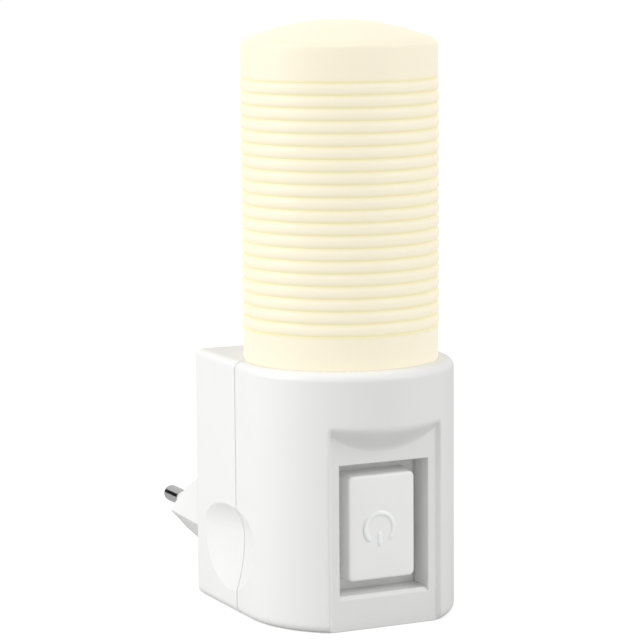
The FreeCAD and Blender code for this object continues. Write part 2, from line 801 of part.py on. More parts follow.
def bridge_rectifier():
    block = box(drum_x - bridge_body_width / 2, drum_x + bridge_body_width / 2,
                driver_front_y - bridge_body_depth, driver_front_y,
                rectifier_z - bridge_body_height / 2, rectifier_z + bridge_body_height / 2)
    return block.makeChamfer(0.5, edges_at(block, lambda p: near(p.y, driver_front_y - bridge_body_depth)))


def axial_part(x, z, radius, length):
    """Round body along X on two bent leads that go into the board."""
    y = driver_front_y - resistor_lift - radius
    body = rod_x(x - length / 2, x + length / 2, y, z, radius)
    body = body.makeChamfer(head_bevel / 2, edges_at(body, lambda p: near(abs(p.x - x), length / 2)))
    reach = length / 2 + lead_wire_radius * 3
    for side in (-1, 1):
        foot = x + side * reach
        body = body.fuse(rod_x(min(x, foot), max(x, foot), y, z, lead_wire_radius))
        body = body.fuse(rod_y(foot, y - lead_wire_radius, driver_front_y, z, lead_wire_radius))
    return body


def tube_along(points, radius, bend):
    """A round lead along straight runs joined by tangent arcs."""
    edges = []
    start = points[0]
    for i in range(1, len(points) - 1):
        before = (points[i - 1] - points[i]).normalize()
        after = (points[i + 1] - points[i]).normalize()
        turn = math.pi - before.getAngle(after)
        cut = bend * math.tan(turn / 2)
        first = points[i] + before * cut
        last = points[i] + after * cut
        inner = (before + after).normalize()
        middle = points[i] + inner * (bend / math.cos(turn / 2) - bend)
        edges.append(Part.LineSegment(start, first).toShape())
        edges.append(Part.Arc(first, middle, last).toShape())
        start = last
    edges.append(Part.LineSegment(start, points[-1]).toShape())
    heading = (points[1] - points[0]).normalize()
    profile = Part.Wire(Part.makeCircle(radius, points[0], heading))
    return Part.Wire(edges).makePipeShell([profile], True, False)


tag_end_y = switch_back_y + tag_reach
tag_mid_z = bridge_z - tag_thickness / 2
cross_y = (tag_end_y + driver_front_y) / 2
lead_run = 3.6


def live_lead():
    """From the left pin through the boss to the switch's first tag."""
    x = -pin_spacing / 2
    points = [vec(x, -pin_tail, 0), vec(x, back_y - wall, 0), vec(-tag_x, tag_end_y + 2 * lead_run, tag_mid_z),
              vec(-tag_x, tag_end_y, tag_mid_z)]
    return tube_along(points, lead_radius, lead_bend)


def neutral_lead():
    """From the right pin to the back of the driver board."""
    x = pin_spacing / 2
    end_x = driver_width / 2 - part_gap - lead_radius
    z = driver_bottom_z + part_gap + lead_radius
    points = [vec(x, -pin_tail, 0), vec(x, -pin_tail - lead_run, 0), vec(end_x, driver_back_y + 2 * lead_run, z),
              vec(end_x, driver_back_y, z)]
    return tube_along(points, lead_radius, lead_bend)


def switched_lead():
    """From the switch's second tag to the front of the driver board."""
    x = driver_width / 2 - part_gap - lead_radius
    z = driver_bottom_z + part_gap + lead_radius
    points = [vec(tag_x, tag_end_y, tag_mid_z), vec(tag_x, tag_end_y + lead_run, tag_mid_z),
              vec(x, driver_front_y - lead_run, z), vec(x, driver_front_y, z)]
    return tube_along(points, lead_radius, lead_bend / 2)


def lamp_lead(side):
    """From the driver board up to the underside of the lamp board."""
    x = side * (lead_radius + part_gap)
    z = driver_top_z - part_gap - lead_radius
    y = driver_front_y - lead_run
    points = [vec(x, driver_front_y, z), vec(x, y, z), vec(x, y, led_board_bottom_z)]
    return tube_along(points, lead_radius, lead_bend / 2)


def led_board_screws():
    y = lamp_y - led_screw_x
    return Part.makeCompound([small_screw(vec(s * led_screw_x, y, led_board_top_z), 0) for s in (-1, 1)])


def switch_screws():
    y = ear_front_y + ear_thickness
    return Part.makeCompound([small_screw(vec(s * post_x, y, button_z), -90) for s in (-1, 1)])


def driver_screws():
    x = driver_post_spacing / 2
    return Part.makeCompound([small_screw(vec(s * x, driver_front_y, driver_post_z()), 90) for s in (-1, 1)])


nodes = {
    "front_housing": front_housing,
    "rear_cover": rear_cover,
    "diffuser": diffuser,
    "push_button": push_button,
    "plug_pin_left": lambda: plug_pin(-1),
    "plug_pin_right": lambda: plug_pin(1),
    "pin_sleeve_left": lambda: pin_sleeve(-1),
    "pin_sleeve_right": lambda: pin_sleeve(1),
    "pin_carrier": pin_carrier,
    "switch_body": switch_body,
    "switch_plunger": switch_plunger,
    "button_spring": button_spring,
    "latch_lever": latch_lever,
    "contact_bridge": contact_bridge,
    "switch_terminal_live": lambda: switch_terminal(-1),
    "switch_terminal_load": lambda: switch_terminal(1),
    "switch_screws": switch_screws,
    "led_board": led_board,
    "led_chips": led_chips,
    "led_board_screws": led_board_screws,
    "driver_board": driver_board,
    "driver_screws": driver_screws,
    "film_capacitor": film_capacitor,
    "smoothing_capacitor": smoothing_capacitor,
    "bridge_rectifier": bridge_rectifier,
    "fuse_resistor": lambda: axial_part(resistor_x, fuse_z, resistor_radius, resistor_length),
    "bleed_resistor": lambda: axial_part(bleeder_x, bleeder_z, bleeder_radius, bleeder_length),
    "live_lead": live_lead,
    "neutral_lead": neutral_lead,
    "switched_lead": switched_lead,
    "lamp_lead_positive": lambda: lamp_lead(-1),
    "lamp_lead_negative": lambda: lamp_lead(1),
    "housing_screws": lambda: Part.makeCompound([housing_screw(-1), housing_screw(1)]),
}

os.makedirs("parts", exist_ok=True)
for name, make in nodes.items():
    shape = make()
    shape.exportStep("parts/" + name + ".step")
    size = shape.BoundBox
    print(name, shape.isValid(), len(shape.Solids), round(shape.Volume, 1),
          [round(v, 2) for v in (size.XMin, size.XMax, size.YMin, size.YMax, size.ZMin, size.ZMax)])
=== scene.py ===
import math

import bmesh
import bpy
from mathutils import Matrix, Vector


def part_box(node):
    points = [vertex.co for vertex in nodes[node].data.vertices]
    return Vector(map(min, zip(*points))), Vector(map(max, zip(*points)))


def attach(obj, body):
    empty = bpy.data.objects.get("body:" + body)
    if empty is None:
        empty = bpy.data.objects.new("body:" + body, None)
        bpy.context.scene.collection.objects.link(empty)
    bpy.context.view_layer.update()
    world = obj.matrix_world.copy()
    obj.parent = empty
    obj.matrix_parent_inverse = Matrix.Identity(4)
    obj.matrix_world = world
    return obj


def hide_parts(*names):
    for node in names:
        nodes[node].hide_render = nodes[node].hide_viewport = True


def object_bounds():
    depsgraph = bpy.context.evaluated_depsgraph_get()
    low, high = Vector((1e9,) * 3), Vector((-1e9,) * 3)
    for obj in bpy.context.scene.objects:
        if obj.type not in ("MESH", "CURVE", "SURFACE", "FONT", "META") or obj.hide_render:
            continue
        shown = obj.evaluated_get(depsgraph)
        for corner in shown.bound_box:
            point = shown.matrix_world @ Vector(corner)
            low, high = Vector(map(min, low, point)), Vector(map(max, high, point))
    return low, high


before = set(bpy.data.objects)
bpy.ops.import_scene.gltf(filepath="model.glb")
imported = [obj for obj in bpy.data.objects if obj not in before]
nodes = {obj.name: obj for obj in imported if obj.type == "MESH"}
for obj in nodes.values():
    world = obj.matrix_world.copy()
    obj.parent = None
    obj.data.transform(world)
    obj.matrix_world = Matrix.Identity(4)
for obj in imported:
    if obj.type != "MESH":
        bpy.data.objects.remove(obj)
cad_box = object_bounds()


# Camera: the photograph's own viewpoint, a long lens a little above the light and to its left.
# Its place, turn, tilt and roll were fitted to the outlines of the housing, the shade and the pins.
camera_place = Vector((-0.2760, -0.6262, 0.1423))
camera_turn = math.radians(25.568)
camera_tilt = math.radians(8.078)
camera_roll = math.radians(-0.41)
focal_pixels = 2824.5
picture_pixels = 640

look = Vector((math.sin(camera_turn) * math.cos(camera_tilt),
               math.cos(camera_turn) * math.cos(camera_tilt), -math.sin(camera_tilt)))
level = Vector((math.cos(camera_turn), -math.sin(camera_turn), 0))
upright = level.cross(look)
across = level * math.cos(camera_roll) + upright * math.sin(camera_roll)
above = upright * math.cos(camera_roll) - level * math.sin(camera_roll)
lens = bpy.data.cameras.new("camera")
lens.sensor_width = 36
lens.lens = focal_pixels / picture_pixels * lens.sensor_width
lens.clip_start = 0.01
camera = bpy.data.objects.new("camera", lens)
bpy.context.scene.collection.objects.link(camera)
camera.matrix_world = Matrix((
    (across.x, above.x, -look.x, camera_place.x),
    (across.y, above.y, -look.y, camera_place.y),
    (across.z, above.z, -look.z, camera_place.z),
    (0, 0, 0, 1)))
bpy.context.scene.camera = camera
bpy.context.scene.view_settings.view_transform = "Standard"


# Floor and studio: matt white paper under the light, lit all round by a pale room.
# The paper is lifted to white for the camera alone and keeps the light's own shadow.
def linear(code):
    channels = [int(code[i:i + 2], 16) / 255 for i in (0, 2, 4)]
    return [c / 12.92 if c <= 0.04045 else ((c + 0.055) / 1.055) ** 2.4 for c in channels] + [1.0]


def add(tree, kind, values=None, links=None, **settings):
    """Adds a node, sets its sockets and settings, and joins it to the outputs that feed it."""
    node = tree.nodes.new(kind)
    for name, value in settings.items():
        setattr(node, name, value)
    for socket, value in (values or {}).items():
        node.inputs[socket].default_value = value
    for socket, source in (links or {}).items():
        tree.links.new(source, node.inputs[socket])
    return node


def new_material(name):
    material = bpy.data.materials.new(name)
    material.use_nodes = True
    material.node_tree.nodes.clear()
    return material, material.node_tree


paper_size = 12.0
paper_colour = "C4C4C4"
paper_lift = 0.60
room_strength = 0.73
floor_z = cad_box[0][2]

paper, tree = new_material("white_paper")
ray = add(tree, "ShaderNodeLightPath")
matt = add(tree, "ShaderNodeBsdfDiffuse", {"Color": linear(paper_colour)})
lift = add(tree, "ShaderNodeEmission", {"Color": linear("FFFFFF"), "Strength": paper_lift})
dark = add(tree, "ShaderNodeEmission", {"Color": linear("000000"), "Strength": 0.0})
for_camera = add(tree, "ShaderNodeMixShader", None,
                 {0: ray.outputs["Is Camera Ray"], 1: dark.outputs[0], 2: lift.outputs[0]})
both = add(tree, "ShaderNodeAddShader", None, {0: matt.outputs[0], 1: for_camera.outputs[0]})
add(tree, "ShaderNodeOutputMaterial", None, {"Surface": both.outputs[0]})

sheet = bmesh.new()
bmesh.ops.create_grid(sheet, x_segments=1, y_segments=1, size=paper_size)
floor_mesh = bpy.data.meshes.new("floor")
sheet.to_mesh(floor_mesh)
sheet.free()
floor = bpy.data.objects.new("floor", floor_mesh)
floor.location = (0, 0, floor_z)
floor.data.materials.append(paper)
bpy.context.scene.collection.objects.link(floor)

room = bpy.data.worlds.new("room")
room.use_nodes = True
tree = room.node_tree
tree.nodes.clear()
bpy.context.scene.world = room
ray = add(tree, "ShaderNodeLightPath")
pale = add(tree, "ShaderNodeBackground", {"Color": linear("FFFFFF"), "Strength": room_strength})
white = add(tree, "ShaderNodeBackground", {"Color": linear("FFFFFF"), "Strength": 1.0})
seen = add(tree, "ShaderNodeMixShader", None,
           {0: ray.outputs["Is Camera Ray"], 1: pale.outputs[0], 2: white.outputs[0]})
add(tree, "ShaderNodeOutputWorld", None, {"Surface": seen.outputs[0]})


def soft_box(name, place, size, watts):
    """A square studio light that points at the housing."""
    data = bpy.data.lights.new(name, "AREA")
    data.size = size
    data.energy = watts
    lamp = bpy.data.objects.new(name, data)
    lamp.location = place
    lamp.rotation_euler = (light_aim - Vector(place)).to_track_quat("-Z", "Y").to_euler()
    bpy.context.scene.collection.objects.link(lamp)


light_aim = Vector((0, -0.05, 0.05))
soft_box("key", place=(-0.85, 0.10, 0.42), size=0.55, watts=5.1)
soft_box("fill", place=(0.70, -0.90, 0.70), size=0.70, watts=4.75)


# Front housing: one half of the body, with the round nose, the sunken panel and its sloped brow.
# White ABS, injection moulded in a spark-finished tool, which leaves a soft satin surface.
cloud_mm = 16.7
gloss_spread = 0.04


def moulded_plastic(name, colour, shade, roughness, grain_mm, grain_lift_mm, edge_mm):
    """Moulded plastic: a fine mould grain, slightly uneven colour and softened edges."""
    material, tree = new_material(name)
    place = add(tree, "ShaderNodeTexCoord")
    here = place.outputs["Object"]
    cloud = add(tree, "ShaderNodeTexNoise", {"Scale": 1000 / cloud_mm, "Detail": 3.0},
                {"Vector": here})
    tone = add(tree, "ShaderNodeMix", {6: linear(colour), 7: linear(shade)},
               {0: cloud.outputs["Fac"]}, data_type="RGBA")
    grain = add(tree, "ShaderNodeTexNoise", {"Scale": 1000 / grain_mm, "Detail": 2.0},
                {"Vector": here})
    edge = add(tree, "ShaderNodeBevel", {"Radius": edge_mm / 1000}, samples=6)
    bump = add(tree, "ShaderNodeBump", {"Strength": 0.6, "Distance": grain_lift_mm / 1000},
               {"Height": grain.outputs["Fac"], "Normal": edge.outputs[0]})
    gloss = add(tree, "ShaderNodeMapRange",
                {"To Min": roughness - gloss_spread, "To Max": roughness + gloss_spread},
                {"Value": grain.outputs["Fac"]})
    skin = add(tree, "ShaderNodeBsdfPrincipled", {"IOR": 1.53},
               {"Base Color": tone.outputs[2], "Roughness": gloss.outputs[0],
                "Normal": bump.outputs[0]})
    add(tree, "ShaderNodeOutputMaterial", None, {"Surface": skin.outputs[0]})
    return material


def finish_node(name, material):
    """Gives a piece of the frame its finish."""
    slots = nodes[name].data.materials
    slots.clear()
    slots.append(material)


crisp_edge_mm = 0.35
housing_plastic = moulded_plastic("satin_white_abs", "ECECEB", "E9E9E8", roughness=0.42,
                                  grain_mm=0.30, grain_lift_mm=0.006, edge_mm=crisp_edge_mm)
finish_node("front_housing", housing_plastic)


# Panel blend: the rolled brow over the sunken panel and the soft run-in along its two sides.
# It is one moulding with the front housing, and its gentle curve shades the place above the
# button. It covers the panel's rim with a skin that is too thin to see.
nose_radius = 0.0245
nose_centre_y = -0.0621
panel_y = -0.0813
pocket_half = 0.0143
pocket_top_z = 0.0344
pocket_margin = 0.0009
side_run = 0.0018
brow_top_z = 0.0332
brow_drop = 0.0076
brow_end_drop = 0.0010
foot_radius = 0.0020
blend_lift = 0.000015
blend_sink = 0.00006
blend_thickness = 0.0003
front_gap = blend_lift / 4
blend_columns = 118
blend_rows = 192
fully_sunk = 0.9999


def ease(share):
    """A step from 0 to 1 with long soft ends."""
    share = min(max(share, 0.0), 1.0)
    return share ** 3 * (10 - 15 * share + 6 * share * share)


def blend_place(x, z):
    """Where the blend's surface lies at a place on the panel, and how far it is sunk there."""
    above_foot = min(z - floor_z, foot_radius)
    round_in = foot_radius - math.sqrt(foot_radius ** 2 - (foot_radius - above_foot) ** 2)
    nose_y = nose_centre_y - math.sqrt((nose_radius - round_in) ** 2 - x * x)
    full = max(panel_y - nose_y, 0.0)
    most = nose_radius - (nose_centre_y - panel_y)
    fall = brow_end_drop + (brow_drop - brow_end_drop) * full / most
    sunk = ease((brow_top_z - z) / fall) * ease((pocket_half - abs(x)) / side_run)
    y = nose_y - blend_lift * (1 - sunk) + (full + blend_sink) * sunk
    return max(y, cad_box[0][1] + front_gap), sunk


shape = bmesh.new()
blend_half = pocket_half + pocket_margin
blend_height = pocket_top_z + pocket_margin - floor_z
places = []
for row in range(blend_rows + 1):
    z = floor_z + blend_height * row / blend_rows
    line = []
    for column in range(blend_columns + 1):
        x = blend_half * (2 * column / blend_columns - 1)
        y, sunk = blend_place(x, z)
        line.append((x, y, z, sunk))
    places.append(line)
made = {}


def blend_corner(row, column):
    if (row, column) not in made:
        made[row, column] = shape.verts.new(places[row][column][:3])
    return made[row, column]


for row in range(blend_rows):
    for column in range(blend_columns):
        corners = ((row, column), (row, column + 1), (row + 1, column + 1), (row + 1, column))
        if min(places[r][c][3] for r, c in corners) < fully_sunk:
            face = shape.faces.new([blend_corner(r, c) for r, c in corners])
            face.smooth = True
for edge in shape.edges:
    edge.smooth = not edge.is_boundary
mesh = bpy.data.meshes.new("panel_blend")
shape.to_mesh(mesh)
shape.free()
panel_blend = bpy.data.objects.new("panel_blend", mesh)
bpy.context.scene.collection.objects.link(panel_blend)
thick = panel_blend.modifiers.new("thick", "SOLIDIFY")
thick.thickness = blend_thickness
thick.offset = -1
blend_plastic = moulded_plastic("satin_white_abs_blend", "ECECEB", "E9E9E8", roughness=0.42,
                                grain_mm=0.30, grain_lift_mm=0.006, edge_mm=0.0)
panel_blend.data.materials.append(blend_plastic)
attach(panel_blend, "housing")

# The housing's own edges are drawn softened, except at the rim that the blend covers.
rim_reach = 0.0012
tree = housing_plastic.node_tree
place = add(tree, "ShaderNodeTexCoord")
parts = add(tree, "ShaderNodeSeparateXYZ", None, {0: place.outputs["Object"]})
side = add(tree, "ShaderNodeMath", None, {0: parts.outputs["X"]}, operation="ABSOLUTE")
by_side = add(tree, "ShaderNodeMath", {1: pocket_half, 2: rim_reach}, {0: side.outputs[0]},
              operation="COMPARE")
by_top = add(tree, "ShaderNodeMath", {1: pocket_top_z, 2: rim_reach}, {0: parts.outputs["Z"]},
             operation="COMPARE")
rim = add(tree, "ShaderNodeMath", None, {0: by_side.outputs[0], 1: by_top.outputs[0]},
          operation="MAXIMUM")
low = add(tree, "ShaderNodeMath", {1: pocket_top_z + rim_reach}, {0: parts.outputs["Z"]},
          operation="LESS_THAN")
front = add(tree, "ShaderNodeMath", {1: panel_y + 2 * rim_reach}, {0: parts.outputs["Y"]},
            operation="LESS_THAN")
low_rim = add(tree, "ShaderNodeMath", None, {0: rim.outputs[0], 1: low.outputs[0]},
              operation="MULTIPLY")
covered = add(tree, "ShaderNodeMath", None, {0: low_rim.outputs[0], 1: front.outputs[0]},
              operation="MULTIPLY")
radius = add(tree, "ShaderNodeMapRange", {"To Min": crisp_edge_mm / 1000, "To Max": 0.0},
             {"Value": covered.outputs[0]})
bevel = next(node for node in tree.nodes if node.bl_idname == "ShaderNodeBevel")
tree.links.new(radius.outputs[0], bevel.inputs["Radius"])


# Rear cover: the other half, with the plug boss, from the same white ABS as the front.
# Its walls are squarer and smoother; its colour is a trace brighter than the front's, which is
# painted light. It has the same mould grain.
cover_plastic_painted_light = moulded_plastic("satin_white_abs_cover_painted_light", "EDEDEC", "EAEAE9", roughness=0.40,
                                grain_mm=0.30, grain_lift_mm=0.005, edge_mm=0.30)
finish_node("rear_cover", cover_plastic_painted_light)


# Diffuser: a thin ribbed shade of cream polypropylene, moulded in one piece with its flange.
# Its emission is a painted glow that keeps its colour even, and its grooves carry painted shade in
# a soft yellow, never grey.
rib_radius = 0.02220
band_radius = 0.02195
groove_radius = 0.02175
neck_radius = 0.02170
neck_rise = 0.00005
band_step = 0.0001
flange_radius = 0.0230
shade_wall = 0.0018
groove_pitch = 0.002767
groove_count = 21
rib_steps = 6
turn_steps = 144
housing_top = 0.0446
lower_band = 0.0075
upper_band = 0.0083
shoulder = 0.0008
shoulder_height = 1.1 * shoulder
shoulder_reach = 1.4 * shoulder
shoulder_steps = 6
dome_rise = 0.0045
dome_steps = 10
inner_steps = 8
shade_sharp = 38
shade_low, shade_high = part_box("diffuser")
lamp_y = (shade_low.y + shade_high.y) / 2
first_groove = housing_top + lower_band
last_groove = first_groove + (groove_count - 1) * groove_pitch


def shade_profile():
    """Radius and height along the wall, up the outside, over the dome and down the inside."""
    flange_top = shade_low.z + shade_wall
    points = [(band_radius - shade_wall, shade_low.z), (flange_radius, shade_low.z),
              (flange_radius, flange_top), (neck_radius, flange_top),
              (neck_radius, housing_top + neck_rise), (band_radius, housing_top + band_step),
              (band_radius, first_groove - band_step)]
    half = groove_pitch / 2
    rise = rib_radius - groove_radius
    bow = (half * half + rise * rise) / (2 * rise)
    for rib in range(groove_count - 1):
        for step in range(rib_steps + 1):
            along = groove_pitch * step / rib_steps
            out = math.sqrt(bow * bow - (along - half) ** 2) - (bow - rise)
            points.append((groove_radius + out, first_groove + rib * groove_pitch + along))
    points.append((band_radius, last_groove + band_step))
    top = last_groove + upper_band
    dome = (band_radius ** 2 + dome_rise ** 2) / (2 * dome_rise)
    centre = top + dome_rise - dome
    points.append((band_radius, top - shoulder_height))
    for step in range(1, shoulder_steps):
        turn = math.radians(90 * step / shoulder_steps)
        points.append((band_radius - shoulder * (1 - math.cos(turn)),
                       top - shoulder_height + shoulder * math.sin(turn)))
    for step in range(dome_steps):
        radius = (band_radius - shoulder_reach) * (1 - step / dome_steps)
        points.append((radius, centre + math.sqrt(dome * dome - radius * radius)))
    apex = top + dome_rise
    inner = dome - shade_wall
    points += [(0, apex), (0, apex - shade_wall)]
    for step in range(1, inner_steps + 1):
        radius = (band_radius - shade_wall) * step / inner_steps
        points.append((radius, centre + math.sqrt(inner * inner - radius * radius)))
    return points


def turned(name, profile, steps, centre_y):
    """Turns a profile of radius and height round the shade's upright axis."""
    shape = bmesh.new()
    rings = []
    for radius, height in profile:
        if radius == 0:
            rings.append([shape.verts.new((0, centre_y, height))])
            continue
        ring = []
        for step in range(steps):
            turn = 2 * math.pi * step / steps
            ring.append(shape.verts.new((radius * math.cos(turn),
                                         centre_y + radius * math.sin(turn), height)))
        rings.append(ring)
    pairs = list(zip(rings, rings[1:])) + [(rings[-1], rings[0])]
    for low, high in pairs:
        for step in range(steps):
            ahead = (step + 1) % steps
            if len(low) == 1 and len(high) == 1:
                break
            if len(high) == 1:
                shape.faces.new((low[step], low[ahead], high[0]))
            elif len(low) == 1:
                shape.faces.new((low[0], high[ahead], high[step]))
            else:
                shape.faces.new((low[step], low[ahead], high[ahead], high[step]))
    return closed_piece(name, shape, shade_sharp)


def closed_piece(name, shape, sharp):
    """Makes a smooth-shaded piece of a closed form, with edges over an angle left sharp."""
    bmesh.ops.recalc_face_normals(shape, faces=shape.faces)
    mesh = bpy.data.meshes.new(name)
    shape.to_mesh(mesh)
    shape.free()
    piece = bpy.data.objects.new(name, mesh)
    bpy.context.scene.collection.objects.link(piece)
    mesh.shade_smooth()
    mesh.set_sharp_from_angle(angle=math.radians(sharp))
    return piece


shade = turned("shade", shade_profile(), turn_steps, lamp_y)

# The shade's emission is painted light: an even glow over the whole shade.
painted_glow = 1.05
shade_cloud_mm = 22.2
ripple_mm = 1.11

cream_plastic, tree = new_material("cream_polypropylene")
place = add(tree, "ShaderNodeTexCoord")
here = place.outputs["Object"]
cloud = add(tree, "ShaderNodeTexNoise", {"Scale": 1000 / shade_cloud_mm, "Detail": 2.0},
            {"Vector": here})
tone = add(tree, "ShaderNodeMix", {6: linear("B9B3A2"), 7: linear("B5AF9D")},
           {0: cloud.outputs["Fac"]}, data_type="RGBA")

# Counting the grooves up the shade gives each one a soft, darker yellow line: painted shade in the
# groove.
parts = add(tree, "ShaderNodeSeparateXYZ", None, {0: here})
rise = add(tree, "ShaderNodeMapRange",
           {"From Min": first_groove, "From Max": last_groove,
            "To Min": 0.5, "To Max": groove_count - 0.5},
           {"Value": parts.outputs["Z"]}, clamp=False)
turn = add(tree, "ShaderNodeMath", None, {0: rise.outputs[0]}, operation="FRACT")
off = add(tree, "ShaderNodeMath", {1: 0.5}, {0: turn.outputs[0]}, operation="SUBTRACT")
away = add(tree, "ShaderNodeMath", None, {0: off.outputs[0]}, operation="ABSOLUTE")
near = add(tree, "ShaderNodeMapRange",
           {"From Min": 0.05, "From Max": 0.28, "To Min": 1.0, "To Max": 0.0},
           {"Value": away.outputs[0]}, interpolation_type="SMOOTHSTEP")
inside = add(tree, "ShaderNodeMath", {1: groove_count / 2, 2: groove_count / 2 - 0.3},
             {0: rise.outputs[0]}, operation="COMPARE")
groove_shade = add(tree, "ShaderNodeMath", None, {0: near.outputs[0], 1: inside.outputs[0]},
             operation="MULTIPLY")
# The darker yellow in the grooves is painted shade.
groove_shaded_tone = add(tree, "ShaderNodeMix", {7: linear("B3AD90")},
             {0: groove_shade.outputs[0], 6: tone.outputs[2]}, data_type="RGBA")
ripple = add(tree, "ShaderNodeTexNoise", {"Scale": 1000 / ripple_mm, "Detail": 1.0},
             {"Vector": here})
bump = add(tree, "ShaderNodeBump", {"Strength": 0.3, "Distance": 0.00001},
           {"Height": ripple.outputs["Fac"]})
skin = add(tree, "ShaderNodeBsdfPrincipled",
           {"IOR": 1.49, "Roughness": 0.45, "Specular IOR Level": 0.35,
            "Subsurface Weight": 0.3, "Subsurface Radius": (1.0, 0.85, 0.6),
            "Subsurface Scale": 0.003, "Emission Strength": painted_glow},
           {"Base Color": groove_shaded_tone.outputs[2], "Emission Color": groove_shaded_tone.outputs[2],
            "Normal": bump.outputs[0]})
add(tree, "ShaderNodeOutputMaterial", None, {"Surface": skin.outputs[0]})
shade.data.materials.append(cream_plastic)
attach(shade, "housing")
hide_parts("diffuser")


# Push button: a crowned cap on a wide skirt that stops it behind the window.
# White ABS like the housing, with rounded edges and a smoother, slightly brighter face.
button_low, button_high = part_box("push_button")
button_z = (button_low.z + button_high.z) / 2
cap_half_x = 0.0081
cap_half_z = 0.0118
cap_corner = 0.0012
cap_edge = 0.0006
cap_pillow = 0.00030
cap_draft = 0.0005
cap_reach = 0.0007
crown_flat = 0.0004
crown_corner = 0.0002
crown_shares = (0.15, 0.35, 0.6, 0.85, 0.97)
skirt_thickness = 0.0014
skirt_corner = 0.0010
skirt_edge = 0.0003
skirt_front_corner = 0.0008
corner_steps = 6


def rounded_loop(half_x, half_z, corner, y):
    """Points of an upright rectangle with round corners, in the plane of the button's face."""
    points = []
    for sign_x, sign_z, start in ((1, 1, 0), (-1, 1, 90), (-1, -1, 180), (1, -1, 270)):
        for step in range(corner_steps + 1):
            turn = math.radians(start + 90 * step / corner_steps)
            points.append((sign_x * (half_x - corner) + corner * math.cos(turn), y,
                           button_z + sign_z * (half_z - corner) + corner * math.sin(turn)))
    return points


def lofted(name, loops, sharp):
    """Joins loops of points into a closed form, flat at both ends."""
    shape = bmesh.new()
    rings = [[shape.verts.new(point) for point in loop] for loop in loops]
    for low, high in zip(rings, rings[1:]):
        for step in range(len(low)):
            ahead = (step + 1) % len(low)
            shape.faces.new((low[step], low[ahead], high[ahead], high[step]))
    shape.faces.new(rings[0])
    shape.faces.new(rings[-1])
    return closed_piece(name, shape, sharp)


face_y = button_low.y + cap_pillow - cap_reach
loops = [rounded_loop(cap_half_x + cap_draft, cap_half_z + cap_draft, cap_corner, button_high.y)]
for step in range(corner_steps + 1):
    turn = math.radians(90 * step / corner_steps)
    inset = cap_edge * (1 - math.cos(turn))
    loops.append(rounded_loop(cap_half_x - inset, cap_half_z - inset, cap_corner,
                              face_y + cap_edge * (1 - math.sin(turn))))
for share in crown_shares:
    inset = cap_edge + share * (cap_half_x - cap_edge - crown_flat)
    pillow = cap_pillow * (1 - (1 - share) ** 2)
    loops.append(rounded_loop(cap_half_x - inset, cap_half_z - inset,
                              max(cap_corner * (1 - share), crown_corner), face_y - pillow))
button_cap = lofted("button_cap", loops, sharp=60)

skirt_front = button_high.y - skirt_thickness
skirt_x = button_high.x
skirt_half_z = (button_high.z - button_low.z) / 2
loops = [rounded_loop(skirt_x, skirt_half_z, skirt_corner, button_high.y),
         rounded_loop(skirt_x, skirt_half_z, skirt_corner, skirt_front + skirt_edge),
         rounded_loop(skirt_x - skirt_edge, skirt_half_z - skirt_edge, skirt_front_corner,
                      skirt_front)]
button_skirt = lofted("button_skirt", loops, sharp=30)
button_plastic = moulded_plastic("smooth_white_abs", "F8F8F7", "F6F6F5", roughness=0.36,
                                 grain_mm=0.25, grain_lift_mm=0.003, edge_mm=0.20)
for piece in (button_cap, button_skirt):
    piece.data.materials.append(button_plastic)
    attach(piece, "button")
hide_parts("push_button")


# Power mark: the usual open ring and bar, raised on the button and upside down as in the
# photograph. It is moulded with the cap and stands out by the light that it catches.
mark_x = -0.0007
mark_z = button_z - 0.0003
mark_radius = 0.00345
mark_half_width = 0.00060
mark_lift = 0.00036
mark_sink = 0.00006
mark_gap = 38
mark_steps = 40
bar_drop = 0.0041
bar_length = 0.0034
bar_steps = 10
bead_steps = 8
end_fullness = (0.3, 0.75, 1.0)


def raised_stroke(name, path):
    """A low half-round bead along a path on the button's face, with rounded ends."""
    loops = []
    for index, (x, z) in enumerate(path):
        before = path[max(index - 1, 0)]
        after = path[min(index + 1, len(path) - 1)]
        run = Vector((after[0] - before[0], 0, after[1] - before[1])).normalized()
        side = Vector((-run.z, 0, run.x))
        from_end = min(index, len(path) - 1 - index)
        fullness = end_fullness[min(from_end, 2)]
        loop = []
        for step in range(bead_steps + 1):
            turn = math.pi * step / bead_steps
            loop.append(Vector((x, face_y - cap_pillow + mark_sink, z))
                        + side * mark_half_width * fullness * math.cos(turn)
                        - Vector((0, mark_lift * fullness * math.sin(turn), 0)))
        loops.append(loop)
    return lofted(name, loops, sharp=50)


ring_path = []
for step in range(mark_steps + 1):
    turn = math.radians(-90 + mark_gap + (360 - 2 * mark_gap) * step / mark_steps)
    ring_path.append((mark_x + mark_radius * math.cos(turn),
                      mark_z + mark_radius * math.sin(turn)))
bar_path = [(mark_x, mark_z - bar_drop + bar_length * step / bar_steps)
            for step in range(bar_steps + 1)]
mark_plastic = moulded_plastic("polished_white_abs", "FBFCFC", "F8FAFA", roughness=0.22,
                               grain_mm=0.25, grain_lift_mm=0.001, edge_mm=0.05)
for name, path in (("mark_ring", ring_path), ("mark_bar", bar_path)):
    piece = raised_stroke(name, path)
    piece.data.materials.append(mark_plastic)
    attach(piece, "button")


# Plug pins: turned brass rods, nickel plated and polished, in a white nylon sleeve by the plug.
# The plating mirrors the pale room in hard bands. The turning lines and the other lines on
# metal below are drawn coarser than the real ones, so that they show.
wave_turn = 2 * math.pi / 20
wear_mm = 1.43


